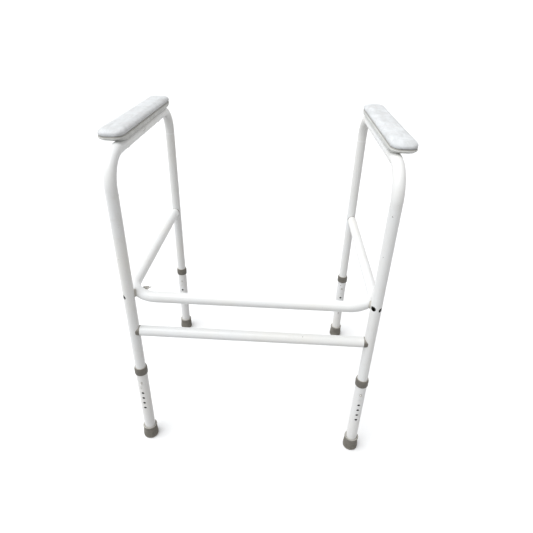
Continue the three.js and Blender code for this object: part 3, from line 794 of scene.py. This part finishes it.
# ---------------------------------------------------- legs, collars, feet
def sleeve(tag, cx, cy, mat):
    z0, z1 = 8.6, 250.0
    pts = line((cx, cy, z0), (cx, cy, z1), 4.0)
    ob = sweep(f"vis_leg_sleeve_{tag}", pts, R_SLEEVE, None, 72, R_BORE)
    tools = []
    for i in range(6):
        z = HOLE_Z - i * PITCH
        tools.append(lathe("t", [[0, 0], [3.55, 0], [3.55, 1.45], [4.1, 1.95], [4.1, 6], [0, 6]], None, (cx, cy - R_SLEEVE - 0.05 + 1.75, z), (0, -1, 0), 32))
        # the drill runs on into the bore
        tools.append(rod((cx, cy - R_SLEEVE + 0.2, z), (cx, cy - 8, z), 3.55, 32))
    cut(ob, tools)
    finish_mesh(ob, mat, True, 32)
    dark_inside(ob, lambda c, n: math.hypot(c.x - cx, c.y - cy) < R_BORE + 0.2)
    return ob


def foot(tag, cx, cy, seed):
    prof = [[0, 0.9], [3.5, 0.9], [4.2, 0.0], [7.2, 0.0], [7.9, 0.9], [9.4, 0.9], [10.1, 0.0], [13.0, 0.0], [13.7, 0.9], [14.9, 0.9], [15.6, 0.0]]
    prof += [[17.4, 0.05], [18.55, 0.7], [19.2, 2.0], [19.42, 3.8], [19.4, 6.5], [19.1, 11.0], [18.45, 18.0], [17.85, 25.0], [17.5, 29.5], [17.42, 31.0],
             [17.7, 31.8], [18.15, 32.5], [18.3, 33.3], [18.3, 35.9], [18.1, 37.0], [17.5, 37.8], [16.4, 38.0], [15.2, 37.6], [14.45, 36.6], [14.2, 34.0], [14.2, 9.0], [0, 9.0]]

    def wob(r, h, a):
        if 15.6 < r and h > 1.0:
            p = Vector((math.cos(a) * 1.3 + seed, math.sin(a) * 1.3, h * 0.06))
            k = noise.noise(p) * 0.16
            # four faint mould ribs
            rib = 0.22 * math.exp(-((((a + 0.4) % (TAU / 4)) - TAU / 8) / 0.05) ** 2) if h < 31 else 0.0
            return r + k + rib, h
        return r, h

    return lathe(f"vis_foot_{tag}", prof, RUBBER, (cx, cy, 0), (0, 0, 1), 96, 38, wob)


def collar(tag, cx, cy):
    prof = [[14.1, 232.0], [15.1, 232.0], [15.55, 232.2], [15.85, 232.8], [15.9, 233.6], [15.9, 246.6], [15.82, 247.6], [15.5, 248.6], [14.7, 252.2], [14.35, 252.8],
            [13.8, 253.0], [12.9, 253.0], [12.62, 252.7], [12.62, 250.4], [14.1, 250.3]]
    ob = lathe(f"vis_collar_{tag}", prof, DARK, (cx, cy, 0), (0, 0, 1), 72, 32)
    return ob


for ei, (end, e) in enumerate(ENDS):
    for si, (side, s) in enumerate(SIDES):
        tag = f"{end}_{side}"
        cx, cy = s * LX, e * LY
        stand_for(sleeve(tag, cx, cy, SLEEVE[tag]), f"leg_{tag}", "sleeve_paint", f"leg_sleeve_{tag}")
        stand_for(foot(tag, cx, cy, 3.1 * ei + 1.7 * si), f"leg_{tag}", "foot_rubber", f"foot_{tag}")
        stand_for(collar(tag, cx, cy), f"leg_{tag}", "dark_plastic", f"collar_{tag}")
        prof = [[0, 8.4], [4.3, 8.4], [4.4, 8.6], [4.4, 9.3], [3.25, 9.45], [3.2, 9.8], [3.2, 14.6]]
        for i in range(1, 9):
            a = i / 8 * math.pi / 2
            prof.append([3.2 * math.cos(a) if i < 8 else 0, 14.6 + 2.7 * math.sin(a)])
        ob = lathe(f"vis_snap_button_{tag}", prof, STEEL, (cx, cy, HOLE_Z), (0, -1, 0), 32, 30)
        stand_for(ob, f"button_{tag}", "fastener_steel", f"snap_button_{tag}")
        n = NODES[f"button_spring_{tag}"]
        n.data.materials.clear()
        n.data.materials.append(SPRING)


# ------------------------------------------------------------- armrests
PAD_CX, PAD_Y0, PAD_Y1, PAD_W = 288.3, -185.0, 221.0, 56.0
PAD_SHIFT = {"left": 0.0, "right": -6.0}
BASE_Z, BASE_H, TRIM_H, CUSHION_H = ARM_Z + R_TUBE + 0.3, 8.2, 1.6, 14.4


def outline(w, y0, y1, r, n=12, long=1.35):
    """Rounded-rectangle outline, anticlockwise; the corners are stretched along the pad and a little squarer than a circle."""
    h = w / 2
    pts = []
    for (cx, cy, a0) in ((h - r, y0 + r * long, -math.pi / 2), (h - r, y1 - r * long, 0), (-h + r, y1 - r * long, math.pi / 2), (-h + r, y0 + r * long, math.pi)):
        for i in range(n + 1):
            a = a0 + math.pi / 2 * i / n
            c, t = math.cos(a), math.sin(a)
            c, t = math.copysign(abs(c) ** 0.92, c), math.copysign(abs(t) ** 0.92, t)
            pts.append((cx + r * c, cy + r * long * t))
    return pts


def dense(pts, step):
    """Adds points to the long straight runs of a closed outline."""
    out = []
    for i, p in enumerate(pts):
        q = pts[(i + 1) % len(pts)]
        d = math.dist(p, q)
        k = max(1, int(round(d / step)))
        for j in range(k):
            out.append((p[0] + (q[0] - p[0]) * j / k, p[1] + (q[1] - p[1]) * j / k))
    return out


def plate(name, rings, mat, cx, sharp=35):
    """Stacks outlines [(z, outline)], which all have the same number of points, and caps both ends."""
    verts, faces, ids = [], [], []
    for z, pts in rings:
        ids.append([len(verts) + i for i in range(len(pts))])
        verts += [V(cx + x, y, z) for x, y in pts]
    n = len(ids[0])
    for A, B in zip(ids, ids[1:]):
        for i in range(n):
            j = (i + 1) % n
            faces.append((A[i], A[j], B[j], B[i]))
    faces.append(tuple(reversed(ids[0])))
    faces.append(tuple(ids[-1]))
    return obj_from(name, verts, faces, mat, True, sharp)


def armrest_base(side, s):
    z0, z1 = BASE_Z, BASE_Z + BASE_H
    w, y0, y1 = PAD_W - 1, PAD_Y0 + PAD_SHIFT[side] + 0.5, PAD_Y1 + PAD_SHIFT[side] - 0.5
    # (height, inset of the long sides, inset of the sloping ends)
    lv = [(0.0, 1.3, 14.0), (0.25, 0.5, 13.2), (0.8, 0.1, 12.0), (1.6, 0.0, 10.4), (3.0, 0.0, 7.4), (4.4, 0.0, 4.4), (5.8, 0.0, 1.8), (6.6, 0.0, 0.6), (7.4, 0.1, 0.1), (8.0, 0.45, 0.4), (8.2, 1.1, 1.1)]
    rings = []
    for z, i, e in lv:
        rings.append((z0 + z, resample(outline(w - 2 * i, y0 + e, y1 - e, 20 - i), 176)))
    ob = plate(f"vis_armrest_base_{side}", rings, None, s * PAD_CX)
    return finish_mesh(ob, BASEM)


def resample(pts, n):
    P = [Vector((*p, 0)) for p in pts]
    P.append(P[0])
    L = [0]
    for a, b in zip(P, P[1:]):
        L.append(L[-1] + (b - a).length)
    out = []
    k = 0
    for i in range(n):
        t = L[-1] * i / n
        while L[k + 1] < t:
            k += 1
        w = (t - L[k]) / max(L[k + 1] - L[k], 1e-9)
        q = P[k].lerp(P[k + 1], w)
        out.append((q.x, q.y))
    return out


def cushion(side, s):
    z0 = BASE_Z + BASE_H + TRIM_H + 0.6
    w, y0, y1 = PAD_W - 1.0, PAD_Y0 + PAD_SHIFT[side] + 0.6, PAD_Y1 + PAD_SHIFT[side] - 0.6
    # (height, inset at the long sides, inset at the ends): tucked in at the groove, rolled over
    # quickly along the sides and slowly at the ends, then a low crown
    prof = [(0.0, 2.2, 2.4), (0.35, 1.0, 1.2), (1.2, 0.35, 0.5), (2.8, 0.03, 0.05), (4.8, 0.0, 0.0), (6.6, 0.2, 0.5), (8.3, 0.85, 1.8), (9.8, 2.0, 3.9),
            (11.1, 3.7, 6.8), (12.1, 5.9, 10.4), (12.8, 8.6, 14.6), (13.3, 12.2, 20.0), (13.6, 17.0, 26.5), (13.7, 22.0, 33.0)]
    rings = []
    for z, i, e in prof:
        r = min(max(20.0 - i * 0.75, 3.0), (w / 2 - i) * 0.9)
        rings.append((z0 + z, resample(outline(w - 2 * i, y0 + e, y1 - e, r), 200)))
    ob = plate(f"vis_armrest_cushion_{side}", rings, None, s * PAD_CX, 60)
    return ob, z0


def soften(ob, z0, cap):
    """Puffs the pad as stuffed vinyl: voxel remesh, cloth pressure, capped movement."""
    scene = bpy.context.scene
    dg = bpy.context.evaluated_depsgraph_get()
    r = ob.modifiers.new("r", "REMESH")
    r.mode = "VOXEL"
    r.voxel_size = 2.6 * MM
    bake(ob)
    rest = np.array([v.co for v in ob.data.vertices])
    vg = ob.vertex_groups.new(name="pin")
    low = [i for i, c in enumerate(rest) if c[2] < (z0 + 1.6) * MM]
    vg.add(low, 1.0, "REPLACE")
    c = ob.modifiers.new("c", "CLOTH")
    st = c.settings
    st.quality = 6
    st.mass = 0.4
    st.tension_stiffness = 60
    st.compression_stiffness = 60
    st.shear_stiffness = 30
    st.bending_stiffness = 4
    st.use_pressure = True
    st.uniform_pressure_force = 4
    st.vertex_group_mass = "pin"
    st.effector_weights.gravity = 0
    c.point_cache.frame_start = 1
    c.point_cache.frame_end = 20
    for f in range(1, 21):
        scene.frame_set(f)
    dg = bpy.context.evaluated_depsgraph_get()
    me = ob.evaluated_get(dg).to_mesh()
    moved = np.array([v.co for v in me.vertices])
    d = moved - rest
    l = np.linalg.norm(d, axis=1)
    k = np.minimum(1.0, cap * MM / np.maximum(l, 1e-9))
    new = rest + d * k[:, None]
    ob.modifiers.clear()
    for v, q in zip(ob.data.vertices, new):
        v.co = q
    scene.frame_set(1)
    sm = ob.modifiers.new("s", "SMOOTH")
    sm.factor = 0.5
    sm.iterations = 3
    sb = ob.modifiers.new("sub", "SUBSURF")
    sb.levels = sb.render_levels = 1
    bake(ob)


for side, s in SIDES:
    ob = armrest_base(side, s)
    stand_for(ob, "frame", "base_plastic", f"armrest_base_{side}")
    z1 = BASE_Z + BASE_H
    strip = resample(outline(PAD_W - 3.0, PAD_Y0 + PAD_SHIFT[side] + 1.5, PAD_Y1 + PAD_SHIFT[side] - 1.5, 18.8), 160)
    tr = plate(f"vis_armrest_trim_{side}", [(z1 + 0.05, strip), (z1 + TRIM_H * 0.5, strip), (z1 + TRIM_H + 0.5, strip)], TRIMM, s * PAD_CX)
    stand_for(tr, "frame", "trim_plastic", f"armrest_trim_{side}")
    cu, z0 = cushion(side, s)
    soften(cu, z0, 1.0)
    finish_mesh(cu, VINYL[side], True, 60)
    stand_for(cu, "frame", "cushion_vinyl", f"armrest_cushion_{side}")
    for i, y in enumerate((-118, 122)):
        ob = domed_bolt(f"vis_armrest_screw_{side}_{i + 1}", (s * LX, y, ARM_Z - R_TUBE - 0.1), (0, 0, -1), 2.4, 4.8, 2.4, 31, STEEL, 1.5)
        stand_for(ob, "frame", "fastener_steel", f"armrest_screw_{side}_{i + 1}")


# ----------------------------------------------------- floor and light
# a wide pale sweep: flat under the frame, rising gently far away
verts, faces = [(0, 0, 0)], []
RINGS = [(4.0, 0.0), (6.0, 0.0), (8.0, 0.12), (11.0, 0.55), (16.0, 1.7), (30.0, 5.2)]
for r, z in RINGS:
    for i in range(72):
        a = TAU * i / 72
        verts.append((r * math.cos(a), r * math.sin(a), z))
for i in range(72):
    j = (i + 1) % 72
    faces.append((0, 1 + i, 1 + j))
    for k in range(len(RINGS) - 1):
        a, b = 1 + 72 * k, 1 + 72 * (k + 1)
        faces.append((a + i, b + i, b + j, a + j))
me = bpy.data.meshes.new("floor")
me.from_pydata(verts, [], faces)
for p in me.polygons:
    p.use_smooth = True
fl = bpy.data.objects.new("floor", me)
fl.location.z = -0.0006
fl.visible_diffuse = False     # the sweep stays pale without throwing light up under the tubes
me.materials.append(FLOOR)
bpy.context.scene.collection.objects.link(fl)


def sun(name, toward, strength, angle, color=(1, 1, 1)):
    li = bpy.data.lights.new(name, "SUN")
    li.energy = strength
    li.angle = math.radians(angle)
    li.color = color
    ob = bpy.data.objects.new(name, li)
    bpy.context.scene.collection.objects.link(ob)
    ob.rotation_euler = Vector(toward).to_track_quat("-Z", "Y").to_euler()


sun("key", (0.34, 0.20, -0.92), 2.1, 50, (0.985, 0.993, 1.0))
w = bpy.data.worlds.new("world")
w.use_nodes = True
wt = w.node_tree
bg = wt.nodes["Background"]
tc = wt.nodes.new("ShaderNodeTexCoord")
sx = wt.nodes.new("ShaderNodeSeparateXYZ")
wt.links.new(tc.outputs["Generated"], sx.inputs[0])
rp = wt.nodes.new("ShaderNodeValToRGB")
mr = wt.nodes.new("ShaderNodeMapRange")
mr.inputs["From Min"].default_value = -1.0
mr.inputs["From Max"].default_value = 1.0
wt.links.new(sx.outputs["X"], mr.inputs["Value"])
wt.links.new(mr.outputs["Result"], rp.inputs["Fac"])
rp.color_ramp.elements[0].position = 0.05
rp.color_ramp.elements[0].color = (0.74, 0.755, 0.77, 1)
rp.color_ramp.elements[1].position = 0.95
rp.color_ramp.elements[1].color = (0.36, 0.355, 0.35, 1)
# below the horizon the room is dimmer, so the undersides fall off
mz = wt.nodes.new("ShaderNodeMapRange")
mz.inputs["From Min"].default_value = -0.55
mz.inputs["From Max"].default_value = 0.15
mz.inputs["To Min"].default_value = 0.62
mz.inputs["To Max"].default_value = 1.0
wt.links.new(sx.outputs["Z"], mz.inputs["Value"])
sc = wt.nodes.new("ShaderNodeVectorMath")
sc.operation = "SCALE"
wt.links.new(rp.outputs["Color"], sc.inputs[0])
wt.links.new(mz.outputs["Result"], sc.inputs["Scale"])
wt.links.new(sc.outputs["Vector"], bg.inputs["Color"])
bg.inputs["Strength"].default_value = 1.32
bpy.context.scene.world = w
bpy.context.scene.view_settings.view_transform = "Standard"
